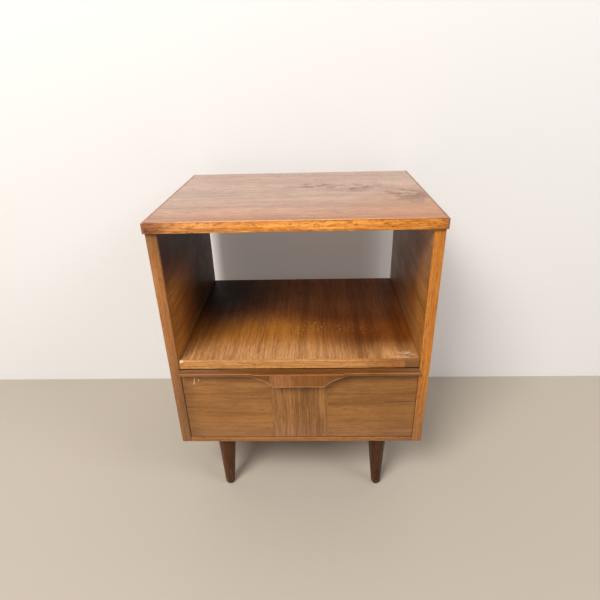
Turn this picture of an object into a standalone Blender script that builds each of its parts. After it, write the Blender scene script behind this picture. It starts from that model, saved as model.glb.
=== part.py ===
"""Side table with drawer: a veneered case on four splayed legs, with an open cubby over one drawer.

Metres, +Z up. The front faces -Y and +X is to the right. The origin is on the floor, in the middle
of the whole object. Everything hangs from two empties: the case, and the drawer, which slides to -Y.
"""

import math

import bmesh
import bpy
from mathutils import Vector

# ---------------------------------------------------------------- driving dimensions
# Case
top_width = 0.508
top_thick = 0.0185
top_overhang_front = 0.0055
top_overhang_side = 0.0025
case_depth = 0.3855
side_thick = 0.019
cubby_height = 0.260
shelf_thick = 0.018
drawer_bay_height = 0.175
bottom_thick = 0.0095
back_thick = 0.0032
front_setback = 0.0025
# Solid edging
top_front_band = 0.006
top_side_band = 0.004
board_band = 0.005
patch_length = 0.028
# Legs and their hardware
leg_height = 0.152
leg_top_diameter = 0.040
leg_foot_diameter = 0.0205
leg_foot_round = 0.003
leg_splay = math.radians(1.4)
leg_inset_x = 0.0875
leg_inset_y = 0.035
plate_thick = 0.0025
plate_edge = 0.008
plate_screw_gap = 0.0055
plate_screw_length = 0.0085
bolt_diameter = 0.008
bolt_in_leg = 0.020
bolt_above_leg = 0.008
bolt_hole_clearance = 0.0015
glide_diameter = 0.0155
glide_thick = 0.004
glide_stem_diameter = 0.004
glide_stem_length = 0.009
# Drawer
drawer_gap_side = 0.0008
drawer_gap_bottom = 0.0015
drawer_gap_top = 0.0025
drawer_front_thick = 0.015
veneer_thick = 0.001
veneer_centre_width = 0.113
drawer_box_gap = 0.004
drawer_side_thick = 0.012
drawer_back_room = 0.0355
drawer_back_thick = 0.012
drawer_bottom_thick = 0.004
drawer_bottom_raise = 0.012
drawer_groove = 0.005
# Drawer pull
pull_thick = 0.018
pull_end_height = 0.0055
pull_shoulder_height = 0.0062
pull_drop = 0.0295
pull_tab_width = 0.100
pull_curve_run = 0.050
pull_end_relief = 0.0035
pull_relief_out = 0.034
pull_relief_run = 0.010
cove_wall = 0.0065
cove_height = 0.018
cove_end_wall = 0.008
cove_round = 0.004
pull_screw_spacing = 0.060
pull_screw_length = 0.027
# Drawer running gear
runner_width = 0.022
runner_thick = 0.003
kicker_height = 0.009
kicker_gap = 0.002
rail_width = 0.028
rail_height = 0.009
guide_width = 0.050
guide_thick = 0.008
guide_grip = 0.014
guide_clearance = 0.001
stop_thick = 0.012
stop_height = 0.024
stop_width = 0.020
stop_gap = 0.001
# Fits and edges
joint_gap = 0.0003
bore_clearance = 0.0003
board_edge = 0.0006
screw_diameter = 0.004
screw_head_diameter = 0.0076
screw_head_height = 0.0022
cut_past = 0.010
turned_steps = 40
small_steps = 16

# ---------------------------------------------------------------- derived places
half_top = top_width / 2
half_case = half_top - top_overhang_side
half_inside = half_case - side_thick
pull_reach = pull_thick + joint_gap - front_setback
front_y = -(case_depth - pull_reach) / 2
back_y = front_y + case_depth
inset_y = front_y + front_setback

bottom_z0 = leg_height
bottom_z1 = bottom_z0 + bottom_thick
shelf_z0 = bottom_z1 + drawer_bay_height
shelf_z1 = shelf_z0 + shelf_thick
top_z0 = shelf_z1 + cubby_height
top_z1 = top_z0 + top_thick

drawer_core_y = inset_y + veneer_thick + joint_gap
drawer_inner_y = drawer_core_y + drawer_front_thick
drawer_z0 = bottom_z1 + drawer_gap_bottom
drawer_z1 = shelf_z0 - drawer_gap_top
half_drawer = half_inside - drawer_gap_side
half_box = half_inside - drawer_box_gap
half_box_inside = half_box - drawer_side_thick
box_z0 = bottom_z1 + runner_thick + 2 * joint_gap
kicker_z0 = shelf_z0 - joint_gap - kicker_height
box_z1 = kicker_z0 - kicker_gap
box_front_y = drawer_inner_y + joint_gap
box_back_y = back_y - drawer_back_room
drawer_floor_z0 = box_z0 + drawer_bottom_raise
drawer_floor_z1 = drawer_floor_z0 + drawer_bottom_thick

pull_back_y = inset_y - joint_gap
pull_front_y = pull_back_y - pull_thick
pull_z1 = drawer_z1
pull_tab_z0 = pull_z1 - pull_drop
pull_screw_z = pull_z1 - (pull_drop - cove_height) / 2
pull_relief_x = pull_tab_width / 2 + pull_relief_out

plate_screw_out = (leg_top_diameter / 2 + plate_screw_gap + screw_head_diameter / 2) / math.sqrt(2)
half_plate = plate_screw_out + plate_edge
plate_z1 = bottom_z0 - joint_gap
plate_z0 = plate_z1 - plate_thick
leg_top_z = plate_z0 - joint_gap
splay_sag = leg_foot_diameter / 2 * math.sin(math.sqrt(2) * leg_splay)
leg_foot_z = glide_thick + joint_gap + splay_sag


# ---------------------------------------------------------------- scene, materials, helpers
def clear_scene():
    for obj in list(bpy.data.objects):
        bpy.data.objects.remove(obj, do_unlink=True)


def new_collection(name):
    collection = bpy.data.collections.new(name)
    bpy.context.scene.collection.children.link(collection)
    return collection


def principled(name, color, roughness, metallic=0.0):
    material = bpy.data.materials.new(name)
    material.use_nodes = True
    shader = material.node_tree.nodes["Principled BSDF"]
    shader.inputs["Base Color"].default_value = (*color, 1.0)
    shader.inputs["Roughness"].default_value = roughness
    shader.inputs["Metallic"].default_value = metallic
    material.diffuse_color = (*color, 1.0)
    return material


clear_scene()
PARTS = new_collection("side_table_with_drawer")
CUTTERS = new_collection("cutters")

TOP_VENEER = principled("top_veneer", (0.36, 0.17, 0.075), 0.32)
CASE_VENEER = principled("case_veneer", (0.25, 0.105, 0.042), 0.42)
EDGE_WOOD = principled("edge_wood", (0.50, 0.21, 0.055), 0.40)
PATCH_WOOD = principled("patch_wood", (0.20, 0.11, 0.06), 0.50)
FRONT_VENEER = principled("front_veneer", (0.27, 0.13, 0.055), 0.45)
PULL_WOOD = principled("pull_wood", (0.24, 0.095, 0.045), 0.40)
LEG_WOOD = principled("leg_wood", (0.085, 0.032, 0.016), 0.38)
DRAWER_WOOD = principled("drawer_wood", (0.52, 0.36, 0.20), 0.60)
RUNNER_WOOD = principled("runner_wood", (0.48, 0.31, 0.16), 0.45)
HARDBOARD = principled("hardboard", (0.17, 0.085, 0.04), 0.75)
STEEL = principled("plated_steel", (0.62, 0.60, 0.55), 0.35, 1.0)
NYLON = principled("nylon", (0.75, 0.72, 0.64), 0.45)


def empty(name, location):
    obj = bpy.data.objects.new(name, None)
    obj.location = location
    obj.empty_display_size = 0.05
    PARTS.objects.link(obj)
    return obj


CASE = empty("case_frame", (0, 0, 0))
DRAWER = empty("drawer_slide_axis", (0, drawer_core_y, (drawer_z0 + drawer_z1) / 2))


def place(obj, parent, centre):
    """Puts a piece at a world place under one of the two empties, neither of which is turned."""
    PARTS.objects.link(obj)
    obj.parent = parent
    obj.location = Vector(centre) - parent.location


def soften(obj, width, segments=1):
    bevel = obj.modifiers.new("edges", "BEVEL")
    bevel.width = width
    bevel.segments = segments
    bevel.limit_method = "ANGLE"


def box_mesh(name, low, high):
    size = Vector(high) - Vector(low)
    shape = bmesh.new()
    bmesh.ops.create_cube(shape, size=1)
    bmesh.ops.scale(shape, vec=size, verts=shape.verts)
    mesh = bpy.data.meshes.new(name)
    shape.to_mesh(mesh)
    shape.free()
    return mesh


def board(name, material, parent, low, high, edge=board_edge):
    """A rectangular board between two opposite corners, with its arrises eased."""
    mesh = box_mesh(name, low, high)
    mesh.materials.append(material)
    obj = bpy.data.objects.new(name, mesh)
    place(obj, parent, (Vector(low) + Vector(high)) / 2)
    if edge:
        soften(obj, edge)
    return obj


def helper(obj):
    """Keeps a cutting shape out of the model itself."""
    CUTTERS.objects.link(obj)
    obj.hide_render = True
    obj.display_type = "WIRE"
    return obj


def cutter_box(name, low, high):
    obj = bpy.data.objects.new(name, box_mesh(name, low, high))
    obj.location = (Vector(low) + Vector(high)) / 2
    return helper(obj)


def rod_mesh(name, rods):
    """One mesh of several cylinders: each is a start point, an end point and a radius."""
    shape = bmesh.new()
    for start, end, radius in rods:
        along = Vector(end) - Vector(start)
        turn = Vector((0, 0, 1)).rotation_difference(along).to_matrix().to_4x4()
        turn.translation = (Vector(start) + Vector(end)) / 2
        bmesh.ops.create_cone(
            shape,
            cap_ends=True,
            segments=small_steps,
            radius1=radius,
            radius2=radius,
            depth=along.length,
            matrix=turn,
        )
    mesh = bpy.data.meshes.new(name)
    shape.to_mesh(mesh)
    shape.free()
    return mesh


def cutter_rods(name, rods):
    return helper(bpy.data.objects.new(name, rod_mesh(name, rods)))


def cut(obj, cutter):
    boolean = obj.modifiers.new(cutter.name, "BOOLEAN")
    boolean.operation = "DIFFERENCE"
    boolean.object = cutter


def turned(name, profile, steps):
    """A solid turned about Z. The profile is (radius, height) pairs, from the top of the axis down."""
    mesh = bpy.data.meshes.new(name)
    points = [(radius, 0, height) for radius, height in profile]
    edges = [(i, i + 1) for i in range(len(points) - 1)]
    mesh.from_pydata(points, edges, [])
    obj = bpy.data.objects.new(name, mesh)
    screw = obj.modifiers.new("turn", "SCREW")
    screw.steps = steps
    screw.render_steps = steps
    screw.use_merge_vertices = True
    screw.merge_threshold = 0.00005
    screw.use_smooth_shade = True
    return obj


def outline_solid(name, points, thickness):
    """A flat outline with a thickness, made a mesh. It lies in XY, centred on z = 0."""
    curve = bpy.data.curves.new(name, "CURVE")
    curve.dimensions = "2D"
    curve.fill_mode = "BOTH"
    curve.extrude = thickness / 2
    spline = curve.splines.new("POLY")
    spline.points.add(len(points) - 1)
    for point, (x, y) in zip(spline.points, points):
        point.co = (x, y, 0, 1)
    spline.use_cyclic_u = True
    flat = bpy.data.objects.new(name + "_outline", curve)
    bpy.context.scene.collection.objects.link(flat)
    graph = bpy.context.evaluated_depsgraph_get()
    mesh = bpy.data.meshes.new_from_object(flat.evaluated_get(graph))
    bpy.data.objects.remove(flat, do_unlink=True)
    shape = bmesh.new()
    shape.from_mesh(mesh)
    bmesh.ops.remove_doubles(shape, verts=shape.verts, dist=0.00001)
    bmesh.ops.recalc_face_normals(shape, faces=shape.faces)
    bmesh.ops.dissolve_limit(shape, angle_limit=0.001, verts=shape.verts, edges=shape.edges)
    shape.to_mesh(mesh)
    shape.free()
    return mesh


# ---------------------------------------------------------------- case
def build_top():
    panel_x = half_top - top_side_band - joint_gap
    top_y = front_y - top_overhang_front
    band_y = top_y + top_front_band
    board("top_panel", TOP_VENEER, CASE, (-panel_x, band_y + joint_gap, top_z0), (panel_x, back_y, top_z1))
    board("top_front_band", EDGE_WOOD, CASE, (-panel_x, top_y, top_z0), (panel_x, band_y, top_z1))
    for name, side in (("left", -1), ("right", 1)):
        edges = sorted((side * half_top, side * (half_top - top_side_band)))
        low = (edges[0], top_y, top_z0)
        high = (edges[1], back_y, top_z1)
        board(f"top_{name}_band", EDGE_WOOD, CASE, low, high)


def build_sides():
    for name, side in (("left", -1), ("right", 1)):
        edges = sorted((side * half_case, side * half_inside))
        low = (edges[0], front_y + board_band + joint_gap, bottom_z0)
        high = (edges[1], back_y, top_z0 - joint_gap)
        board(f"side_panel_{name}", CASE_VENEER, CASE, low, high)
        low = (edges[0], front_y, bottom_z0)
        high = (edges[1], front_y + board_band, top_z0 - joint_gap)
        board(f"side_front_band_{name}", EDGE_WOOD, CASE, low, high)


def build_shelf():
    half = half_inside - joint_gap
    band_y = inset_y + board_band
    patch_x = half - patch_length
    board("shelf_panel", CASE_VENEER, CASE, (-half, band_y + joint_gap, shelf_z0), (half, back_y, shelf_z1))
    board(
        "shelf_front_band",
        EDGE_WOOD,
        CASE,
        (-half, inset_y, shelf_z0),
        (patch_x - joint_gap, band_y, shelf_z1),
    )
    board("shelf_band_patch", PATCH_WOOD, CASE, (patch_x, inset_y, shelf_z0), (half, band_y, shelf_z1))


def build_bottom():
    half = half_inside - joint_gap
    panel_back = back_y - back_thick - joint_gap
    band_y = front_y + board_band
    low = (-half, band_y + joint_gap, bottom_z0)
    panel = board("bottom_panel", CASE_VENEER, CASE, low, (half, panel_back, bottom_z1))
    board("bottom_front_band", EDGE_WOOD, CASE, (-half, front_y, bottom_z0), (half, band_y, bottom_z1))
    board(
        "drawer_bay_back",
        HARDBOARD,
        CASE,
        (-half, back_y - back_thick, bottom_z0),
        (half, back_y, shelf_z0 - joint_gap),
    )
    return panel


def build_running_gear():
    """The runners, kickers, centre rail and stops that the drawer works against."""
    gear_back = back_y - back_thick - joint_gap
    runner_y = drawer_inner_y + joint_gap
    runner_z = bottom_z1 + joint_gap
    for name, side in (("left", -1), ("right", 1)):
        edges = sorted((side * (half_inside - joint_gap), side * (half_inside - runner_width)))
        board(
            f"drawer_runner_{name}",
            RUNNER_WOOD,
            CASE,
            (edges[0], runner_y, runner_z),
            (edges[1], box_back_y, runner_z + runner_thick),
        )
        board(
            f"drawer_kicker_{name}",
            RUNNER_WOOD,
            CASE,
            (edges[0], runner_y, kicker_z0),
            (edges[1], gear_back, shelf_z0 - joint_gap),
        )
        stop_x = side * (half_box - drawer_side_thick / 2)
        stop_y = box_back_y + stop_gap
        board(
            f"drawer_stop_{name}",
            RUNNER_WOOD,
            CASE,
            (stop_x - stop_width / 2, stop_y, runner_z),
            (stop_x + stop_width / 2, stop_y + stop_thick, runner_z + stop_height),
        )
    board(
        "centre_guide_rail",
        RUNNER_WOOD,
        CASE,
        (-rail_width / 2, runner_y, runner_z),
        (rail_width / 2, gear_back, runner_z + rail_height),
    )


# ---------------------------------------------------------------- legs
def screw_profile(length):
    """A pan-head screw with its head down, from the tip at the top: z = 0 is under the head."""
    shank = screw_diameter / 2
    head = screw_head_diameter / 2
    return [
        (0, length),
        (shank * 0.4, length),
        (shank, length - screw_diameter),
        (shank, 0),
        (head, 0),
        (head, -screw_head_height / 2),
        (head * 0.7, -screw_head_height),
        (0, -screw_head_height),
    ]


def add_turned(name, material, parent, profile, steps, centre, direction=(0, 0, 1)):
    obj = turned(name, profile, steps)
    obj.data.materials.append(material)
    place(obj, parent, centre)
    obj.rotation_mode = "QUATERNION"
    obj.rotation_quaternion = Vector((0, 0, 1)).rotation_difference(Vector(direction))
    return obj


def leg_profile():
    """From above the plate's underside, where the top is trimmed level, down to the rounded foot."""
    length = leg_top_z - leg_foot_z
    slope = (leg_top_diameter - leg_foot_diameter) / 2 / length
    above = leg_top_diameter * math.tan(leg_splay)
    foot = leg_foot_diameter / 2
    points = [(0, above), (leg_top_diameter / 2 + above * slope, above)]
    for i in range(5):
        angle = math.pi / 2 * i / 4
        rise = leg_foot_round * (1 - math.sin(angle))
        inset = leg_foot_round * (1 - math.cos(angle))
        points.append((foot - inset + slope * rise, rise - length))
    points.append((0, -length))
    return points


def build_leg(corner, sx, sy, panel):
    tilt = math.tan(leg_splay)
    top_x = sx * (half_case - leg_inset_x)
    top_y = front_y + leg_inset_y if sy < 0 else back_y - leg_inset_y
    top = Vector((top_x, top_y, leg_top_z))
    up = Vector((-sx * tilt, -sy * tilt, 1)).normalized()
    foot = top - up * (leg_top_z - leg_foot_z)

    leg = add_turned(f"leg_{corner}", LEG_WOOD, CASE, leg_profile(), turned_steps, top, up)
    reach = leg_top_diameter
    trim_low = (top_x - reach, top_y - reach, leg_top_z)
    trim_high = (top_x + reach, top_y + reach, leg_top_z + cut_past)
    cut(leg, cutter_box(f"cut_leg_top_{corner}", trim_low, trim_high))
    bolt_radius = bolt_diameter / 2
    bore = bolt_radius + bore_clearance
    bore_end = top - up * (bolt_in_leg + joint_gap)
    cut(leg, cutter_rods(f"cut_leg_bolt_{corner}", [(top + up * cut_past, bore_end, bore)]))
    stem = glide_stem_diameter / 2
    stem_top = foot.z + glide_stem_length
    stem_bore = (
        (foot.x, foot.y, foot.z - cut_past),
        (foot.x, foot.y, stem_top + joint_gap),
        stem + bore_clearance,
    )
    cut(leg, cutter_rods(f"cut_leg_stem_{corner}", [stem_bore]))

    bolt = [
        (0, bolt_above_leg),
        (bolt_radius, bolt_above_leg),
        (bolt_radius, -bolt_in_leg),
        (0, -bolt_in_leg),
    ]
    add_turned(f"leg_bolt_{corner}", STEEL, CASE, bolt, small_steps, top, up)

    glide = glide_diameter / 2
    glide_points = [
        (0, stem_top),
        (stem, stem_top),
        (stem, glide_thick),
        (glide, glide_thick),
        (glide, glide_thick / 2),
        (glide * 0.9, 0),
        (0, 0),
    ]
    add_turned(f"leg_glide_{corner}", NYLON, CASE, glide_points, turned_steps, (foot.x, foot.y, 0))

    plate_low = (top_x - half_plate, top_y - half_plate, plate_z0)
    plate_high = (top_x + half_plate, top_y + half_plate, plate_z1)
    plate = board(f"leg_plate_{corner}", STEEL, CASE, plate_low, plate_high, edge=0)
    screws = [Vector((top_x + out, top_y + out, 0)) for out in (-plate_screw_out, plate_screw_out)]
    past = Vector((0, 0, cut_past))
    screw_bore = screw_diameter / 2 + bore_clearance
    plate_holes = [(top - past, top + past, bolt_radius + bolt_hole_clearance)]
    panel_holes = [(top, Vector((top_x, top_y, bottom_z1 + cut_past)), bolt_radius + bolt_hole_clearance)]
    for number, spot in enumerate(screws, 1):
        head = Vector((spot.x, spot.y, plate_z0 - joint_gap))
        tip = head + Vector((0, 0, plate_screw_length))
        plate_holes.append((head - past, tip + past, screw_bore))
        panel_holes.append((head, tip + Vector((0, 0, joint_gap)), screw_bore))
        profile = screw_profile(plate_screw_length)
        add_turned(f"plate_screw_{corner}_{number}", STEEL, CASE, profile, small_steps, head)
    cut(plate, cutter_rods(f"cut_plate_{corner}", plate_holes))
    cut(panel, cutter_rods(f"cut_panel_{corner}", panel_holes))


def build_legs(panel):
    for end, sy in (("front", -1), ("back", 1)):
        for side, sx in (("left", -1), ("right", 1)):
            build_leg(f"{end}_{side}", sx, sy, panel)


# ---------------------------------------------------------------- drawer
def build_drawer_box():
    front = board(
        "drawer_front",
        DRAWER_WOOD,
        DRAWER,
        (-half_drawer, drawer_core_y, drawer_z0),
        (half_drawer, drawer_inner_y, drawer_z1),
    )
    groove_x = half_box_inside + drawer_groove
    groove_low = Vector((-groove_x, drawer_inner_y - drawer_groove, drawer_floor_z0 - joint_gap))
    groove_high = Vector((groove_x, box_back_y + cut_past, drawer_floor_z1 + joint_gap))
    groove = cutter_box("cut_drawer_groove", groove_low, groove_high)
    cut(front, groove)
    for name, side in (("left", -1), ("right", 1)):
        edges = sorted((side * half_box, side * half_box_inside))
        low = (edges[0], box_front_y, box_z0)
        high = (edges[1], box_back_y, box_z1)
        cut(board(f"drawer_side_{name}", DRAWER_WOOD, DRAWER, low, high), groove)
    back_x = half_box_inside - joint_gap
    board(
        "drawer_back",
        DRAWER_WOOD,
        DRAWER,
        (-back_x, box_back_y - drawer_back_thick, drawer_floor_z1 + joint_gap),
        (back_x, box_back_y, box_z1),
    )
    floor_x = groove_x - joint_gap
    floor_y = drawer_inner_y - drawer_groove + joint_gap
    board(
        "drawer_bottom",
        DRAWER_WOOD,
        DRAWER,
        (-floor_x, floor_y, drawer_floor_z0),
        (floor_x, box_back_y, drawer_floor_z1),
        edge=0,
    )
    return front


def build_drawer_guide():
    """A plastic shoe on the drawer's back that straddles the centre rail."""
    low_z = bottom_z1 + joint_gap + guide_clearance
    low = (-guide_width / 2, box_back_y + joint_gap, low_z)
    high = (guide_width / 2, box_back_y + joint_gap + guide_thick, drawer_floor_z1 + guide_grip)
    guide = board("drawer_guide", NYLON, DRAWER, low, high)
    slot_x = rail_width / 2 + guide_clearance
    slot_top = bottom_z1 + joint_gap + rail_height + guide_clearance
    slot = cutter_box(
        "cut_guide_slot",
        (-slot_x, low[1] - cut_past, low_z - cut_past),
        (slot_x, high[1] + cut_past, slot_top),
    )
    cut(guide, slot)


def build_veneers():
    """Three thin facings: the grain runs across on the outer two, and upright on the centre one."""
    seam = veneer_centre_width / 2
    spans = {
        "left": (-half_drawer, -seam - joint_gap),
        "centre": (-seam, seam),
        "right": (seam + joint_gap, half_drawer),
    }
    pieces = {}
    for name, (x0, x1) in spans.items():
        low = (x0, inset_y, drawer_z0)
        high = (x1, inset_y + veneer_thick, drawer_z1)
        pieces[name] = board(f"front_veneer_{name}", FRONT_VENEER, DRAWER, low, high, edge=0)
    return pieces["centre"]


def pull_outline():
    """The pull from the front: a strip whose middle drops, on two hollow curves, to a flat-ended tab."""
    tab = pull_tab_width / 2
    curve_x = tab + pull_curve_run
    drop = pull_drop - pull_shoulder_height
    radius = (pull_curve_run**2 + drop**2) / (2 * drop)
    sweep = 2 * math.atan2(drop, pull_curve_run)
    steps = 14
    right = []
    for i in range(steps + 1):
        angle = sweep * i / steps
        x = curve_x - radius * math.sin(angle)
        z = -pull_shoulder_height - radius * (1 - math.cos(angle))
        right.append((x, z))
    left = [(-x, z) for x, z in reversed(right)]
    end = half_drawer
    return [(-end, 0), (end, 0), (end, -pull_end_height), *right, *left, (-end, -pull_end_height)]


def relief_outline(side):
    """From above: what is taken off the front of one end of the pull, with an easy S beside the tab."""
    steps = 8
    curve = []
    for i in range(steps + 1):
        share = i / steps
        ease = share * share * (3 - 2 * share)
        curve.append((pull_relief_x + share * pull_relief_run, pull_end_relief * ease))
    past = half_drawer + cut_past
    points = [(pull_relief_x, -cut_past), *curve, (past, pull_end_relief), (past, -cut_past)]
    return [(side * x, y) for x, y in points]


def build_pull(front, veneer):
    mesh = outline_solid("drawer_pull", pull_outline(), pull_thick)
    mesh.materials.append(PULL_WOOD)
    pull = bpy.data.objects.new("drawer_pull", mesh)
    middle_y = pull_back_y - pull_thick / 2
    place(pull, DRAWER, (0, middle_y, pull_z1))
    pull.rotation_euler = (math.pi / 2, 0, 0)
    soften(pull, board_edge)

    for name, side in (("left", -1), ("right", 1)):
        height = 4 * pull_drop
        relief = bpy.data.objects.new(
            f"cut_pull_{name}", outline_solid(f"cut_pull_{name}", relief_outline(side), height)
        )
        relief.location = (0, pull_front_y, pull_z1)
        cut(pull, helper(relief))

    cove_x = pull_tab_width / 2 - cove_end_wall
    cove = cutter_box(
        "cut_pull_cove",
        (-cove_x, pull_front_y + cove_wall, pull_tab_z0 - cut_past),
        (cove_x, pull_back_y + cut_past, pull_tab_z0 + cove_height),
    )
    soften(cove, cove_round, segments=3)
    cut(pull, cove)

    head_y = drawer_inner_y + joint_gap
    tip_y = head_y - pull_screw_length
    bores = []
    for name, side in (("left", -1), ("right", 1)):
        x = side * pull_screw_spacing / 2
        bores.append(
            (
                (x, head_y + cut_past, pull_screw_z),
                (x, tip_y - joint_gap, pull_screw_z),
                screw_diameter / 2 + bore_clearance,
            )
        )
        add_turned(
            f"pull_screw_{name}",
            STEEL,
            DRAWER,
            screw_profile(pull_screw_length),
            small_steps,
            (x, head_y, pull_screw_z),
            (0, -1, 0),
        )
    bore = cutter_rods("cut_pull_screws", bores)
    for piece in (pull, front, veneer):
        cut(piece, bore)


build_top()
build_sides()
build_shelf()
build_legs(build_bottom())
build_running_gear()
drawer_front = build_drawer_box()
build_drawer_guide()
build_pull(drawer_front, build_veneers())
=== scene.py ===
"""The looks of a side table with one drawer: worn, orange-brown walnut on four tapered legs.

Metres, +Z up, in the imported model's frame: the front faces -Y and +X is to the right. The case's boards, the
legs, and the drawer's pull and outer veneers are made again here with eased and rubbed arrises. The other
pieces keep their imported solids. Every piece has its vertices in world places, so its Object coordinates are
places on the table at rest. A wood's colours are display colours, from 0 to 255.
"""

import math

import bmesh
import bpy
from mathutils import Matrix, Vector, noise


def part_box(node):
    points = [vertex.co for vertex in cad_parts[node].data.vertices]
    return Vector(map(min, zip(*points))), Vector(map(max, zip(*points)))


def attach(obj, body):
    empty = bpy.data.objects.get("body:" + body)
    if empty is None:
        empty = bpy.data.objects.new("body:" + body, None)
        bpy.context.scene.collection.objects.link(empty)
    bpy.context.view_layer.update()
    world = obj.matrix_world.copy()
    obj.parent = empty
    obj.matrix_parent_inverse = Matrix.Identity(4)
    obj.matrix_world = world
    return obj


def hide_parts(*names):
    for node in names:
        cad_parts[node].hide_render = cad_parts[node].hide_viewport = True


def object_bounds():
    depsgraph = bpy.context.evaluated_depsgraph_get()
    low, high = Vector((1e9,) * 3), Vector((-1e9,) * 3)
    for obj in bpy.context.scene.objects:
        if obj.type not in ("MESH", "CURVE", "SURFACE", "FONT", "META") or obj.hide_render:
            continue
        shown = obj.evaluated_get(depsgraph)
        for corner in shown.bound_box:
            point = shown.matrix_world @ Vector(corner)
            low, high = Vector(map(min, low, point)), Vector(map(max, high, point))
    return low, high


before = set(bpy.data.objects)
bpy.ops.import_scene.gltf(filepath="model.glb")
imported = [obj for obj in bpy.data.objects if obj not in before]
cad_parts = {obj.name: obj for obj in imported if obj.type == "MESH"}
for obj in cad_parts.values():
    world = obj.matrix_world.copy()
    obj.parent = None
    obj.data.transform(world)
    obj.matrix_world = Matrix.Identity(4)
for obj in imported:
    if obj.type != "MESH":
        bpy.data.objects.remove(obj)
cad_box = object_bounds()

X, Y, Z = range(3)

# Places that the materials' own marks are set by
top_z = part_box("top_panel")[1].z
shelf_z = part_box("shelf_panel")[1].z
wall_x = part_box("side_panel_right")[0].x
pull_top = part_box("drawer_pull")[1].z
pull_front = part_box("drawer_pull")[0].y
veneer_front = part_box("front_veneer_centre")[0].y
veneer_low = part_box("front_veneer_centre")[0].z
case_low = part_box("bottom_panel")[0].z

# ---------------------------------------------------------------- sizes
# Joints and arrises
joint_gap = 0.0003
joint_reach = 0.45 * joint_gap
board_ease = 0.0009
thin_ease = 0.0003
arris_steps = 3
board_cell = 0.012
arris_strip = 0.0025
rub_depth = 0.0005
rub_waves = 38
nick_waves = 210
chip_depth = 0.0032
sharp_angle = math.radians(42)
# The pull's outline and section
pull_drop = 0.0295
pull_shoulder = 0.0062
pull_end = 0.0055
pull_tab_half = 0.050
pull_curve_run = 0.050
pull_relief = 0.0035
pull_relief_start = 0.084
pull_relief_run = 0.010
pull_arris = 0.0011
pull_back_arris = 0.0005
cove_wall = 0.0065
cove_height = 0.018
cove_half = 0.042
cove_round = 0.004
cove_steps = 8
pull_fine_step = 0.002
pull_plain_step = 0.006
# Legs
leg_foot_radius = 0.01025
leg_foot_round = 0.0016
leg_top_round = 0.0006
leg_steps = 72
leg_rings = 12
leg_foot_steps = 6
bolt_bore = 0.0043
bolt_bore_depth = 0.0205
stem_bore = 0.0026
stem_bore_depth = 0.0056
# Stage
wall_gap = 0.045
wall_height = 2.6
stage_half = 4.0
# Camera: its place from the middle of the case's front, at the case's bottom, and its angles in degrees
camera_right = 0.0333
camera_away = 0.7303
camera_up = 0.7011
camera_turn = 2.093
camera_down = 26.681
camera_roll = -1.622
# Wood's figure: how long its marks are along the grain, and how much of the tone each kind gives
sway_length = 0.16
band_length = 0.9
streak_length = 0.20
line_length = 0.045
line_width = 0.0021
band_share = 0.36
streak_share = 0.34
line_share = 0.30
tone_spread = 0.10
pore_stretch = 8


# ---------------------------------------------------------------- material helpers
def rgb(red, green, blue):
    """A display colour from 0 to 255, as the linear colour that a shader takes."""
    shares = [value / 255 for value in (red, green, blue)]
    linear = [s / 12.92 if s <= 0.04045 else ((s + 0.055) / 1.055) ** 2.4 for s in shares]
    return (*linear, 1.0)


def tones(red, green, blue, depth=0.35):
    """A wood's dark, middle and light colours about a display colour. The dark one is also the redder."""
    middle = rgb(red, green, blue)[:3]
    dark = [value * (1 - depth * share) for value, share in zip(middle, (1.0, 1.15, 1.3))]
    light = [value * (1 + depth * share) for value, share in zip(middle, (0.8, 0.95, 1.1))]
    return (*dark, 1.0), (*middle, 1.0), (*light, 1.0)


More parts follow.
